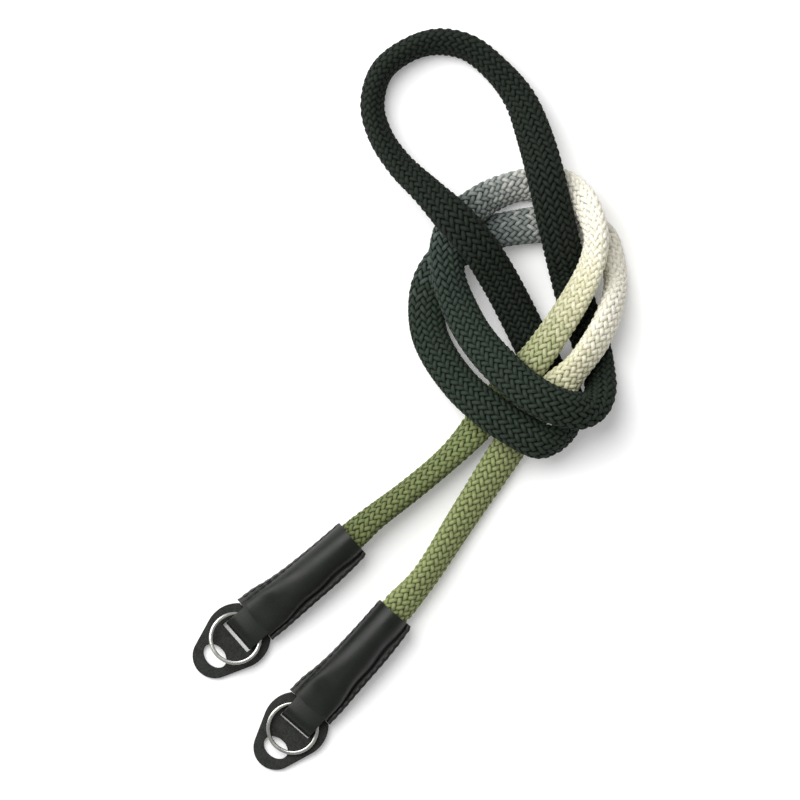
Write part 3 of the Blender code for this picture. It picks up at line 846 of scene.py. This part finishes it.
def guard(side, suede):
    """The guard's plate with softened edges, in place of the plain solid."""
    end = ENDS[side]
    lean = math.degrees(math.acos((GUARD_RADIUS - GUARD_TIP_RADIUS) / GUARD_REACH))
    start = math.degrees(math.acos((SLEEVE_LENGTH + 2 * GAP - slit_middle(end)) / GUARD_RADIUS))
    outline = arc((0, 0), (GUARD_RADIUS, GUARD_RADIUS), -start, -lean, GUARD_STEPS)
    outline += arc((GUARD_REACH, 0), (GUARD_TIP_RADIUS, GUARD_TIP_RADIUS), -lean, lean, GUARD_TIP_STEPS)
    outline += arc((0, 0), (GUARD_RADIUS, GUARD_RADIUS), lean, start, GUARD_STEPS)
    plate = object_of(f"{side}_guard_leather", prism(outline, 0, GUARD_THICKNESS))
    wide, long = end["slit"] / 2, TAB_WIDTH / 2 + SLIT_EASE
    slot = [(wide, long), (-wide, long), (-wide, -long), (wide, -long)]
    opening = (GUARD_HOLE_LENGTH / 2, GUARD_HOLE_WIDTH / 2)
    oval = [(GUARD_REACH + x, y) for x, y in arc((0, 0), opening, 0, 360, GUARD_HOLE_STEPS)[:-1]]
    cutters = [
        object_of(f"{side}_{name}_cutter", prism(shape, -GUARD_THICKNESS, 2 * GUARD_THICKNESS))
        for name, shape in (("slit", slot), ("hole", oval))
    ]
    place = end_matrix(side) @ Matrix.Translation((slit_middle(end), 0, TAB_LEATHER + GAP))
    place = place @ Matrix.Rotation(guard_slope(), 4, "Y")
    settled(plate, place, suede, GUARD_BEVEL, cutters)
    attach(plate, "root")
    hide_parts(f"{side}_guard")


def ring(side, steel):
    """The split ring's two turns of flat wire with rounded corners."""
    end = ENDS[side]
    middle = RING_RADIUS - RING_WIRE_WIDTH / 2
    section = [
        (
            math.copysign(abs(math.cos(a)) ** RING_ROUNDING, math.cos(a)) * RING_WIRE_WIDTH / 2,
            math.copysign(abs(math.sin(a)) ** RING_ROUNDING, math.sin(a)) * RING_WIRE_HEIGHT / 2,
        )
        for a in np.linspace(0, 2 * math.pi, RING_SIDES, endpoint=False)
    ]
    rings = []
    for turned in np.linspace(RING_STEP_ANGLE, 2 * 360 - RING_STEP_ANGLE, RING_STATIONS):
        share = min(1.0, max(0.0, (turned - 360 + RING_STEP_ANGLE) / (2 * RING_STEP_ANGLE)))
        level = RING_PITCH * share * share * (3 - 2 * share) + RING_WIRE_HEIGHT / 2
        angle = math.radians(turned + RING_START_ANGLE)
        rings.append([
            ((middle + out) * math.cos(angle), (middle + out) * math.sin(angle), level + up)
            for out, up in section
        ])
    slope = guard_slope()
    behind = RING_CENTRE - RING_RADIUS - slit_middle(end)
    rest = TAB_LEATHER + 2 * GAP + GUARD_THICKNESS - behind * math.tan(slope)
    tilt = slope if end["ring_lift"] is None else -math.radians(end["ring_lift"])
    place = end_matrix(side) @ Matrix.Translation((RING_CENTRE, 0, rest - RING_RADIUS * math.sin(tilt)))
    place = place @ Matrix.Rotation(tilt, 4, "Y")
    made = settled(object_of(f"{side}_split_ring", loft(rings)), place, steel)
    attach(made, "root")
    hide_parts(f"{side}_ring")


def fittings():
    """Both leather ends with their stitches, guards and split rings."""
    grain = grain_group()
    leather = grainy(
        "smooth_leather", grain, (0.004, 0.005, 0.004), (0.010, 0.012, 0.009),
        rough=(0.36, 0.48), bump=(0.3, 0.00008), scales=(1900, 160), Specular_IOR_Level=0.25,
    )
    suede = grainy(
        "guard_suede", grain, (0.003, 0.0035, 0.003), (0.030, 0.032, 0.029),
        rough=(0.85, 0.95), bump=(0.8, 0.0002), scales=(1500, 400), Specular_IOR_Level=0.2,
    )
    steel = grainy(
        "ring_nickel", grain, (0.36, 0.36, 0.34), (0.5, 0.5, 0.47),
        rough=(0.2, 0.32), bump=(0.02, 0.00001), scales=(1200, 300), Metallic=1.0,
    )
    thread = grainy(
        "waxed_thread", grain, (0.012, 0.012, 0.011), (0.04, 0.04, 0.036),
        rough=(0.5, 0.65), bump=(0.5, 0.00008), scales=(3800, 700),
    )
    tree = stitch_tree()
    for side in ENDS:
        table = leather_end(side, leather)
        stitches(side, table, tree, thread)
        guard(side, suede)
        ring(side, steel)


def camera():
    data = bpy.data.cameras.new("camera")
    data.sensor_width = SENSOR
    data.lens = SENSOR * (CAMERA_HEIGHT - MIDDLE_HEIGHT) / VIEW_WIDTH
    data.clip_end = FARTHEST_SEEN
    made = linked("camera", data)
    made.location = (*VIEW_MIDDLE, CAMERA_HEIGHT)
    bpy.context.scene.camera = made


def floor():
    mesh = bpy.data.meshes.new("floor")
    corners = [(x * TABLE_REACH, y * TABLE_REACH, 0) for x, y in ((-1, -1), (1, -1), (1, 1), (-1, 1))]
    mesh.from_pydata(corners, [], [(0, 1, 2, 3)])
    made = linked("floor", mesh)
    paint, _, _ = shader_material(
        "white_table", Base_Color=TABLE_COLOUR, Roughness=0.6,
        Emission_Color=TABLE_GLOW, Emission_Strength=TABLE_GLOW_STRENGTH,
    )
    mesh.materials.append(paint)


def light(name, place, size, watts):
    data = bpy.data.lights.new(name, "AREA")
    data.shape = "DISK"
    data.size = size
    data.energy = watts
    made = linked(name, data)
    made.location = place
    x, y, z = np.array(LIGHT_AIM) - np.array(place)
    made.rotation_euler = (math.atan2(math.hypot(x, y), -z), 0, math.atan2(y, x) - math.pi / 2)


def studio():
    world = bpy.data.worlds.new("studio")
    bpy.context.scene.world = world
    world.use_nodes = True
    background = world.node_tree.nodes["Background"]
    background.inputs["Color"].default_value = SURROUND
    background.inputs["Strength"].default_value = SURROUND_STRENGTH
    for name, (place, size, watts) in SOFTBOXES.items():
        light(name, place, size, watts)
    bpy.context.scene.view_settings.view_transform = "Standard"


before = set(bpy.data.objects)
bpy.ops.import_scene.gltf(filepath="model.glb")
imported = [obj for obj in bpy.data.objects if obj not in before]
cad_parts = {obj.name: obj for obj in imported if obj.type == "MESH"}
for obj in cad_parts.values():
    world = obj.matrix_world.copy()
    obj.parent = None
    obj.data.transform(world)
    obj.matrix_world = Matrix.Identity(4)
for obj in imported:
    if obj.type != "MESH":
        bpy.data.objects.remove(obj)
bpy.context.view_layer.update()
camera()
rope()
fittings()
floor()
studio()
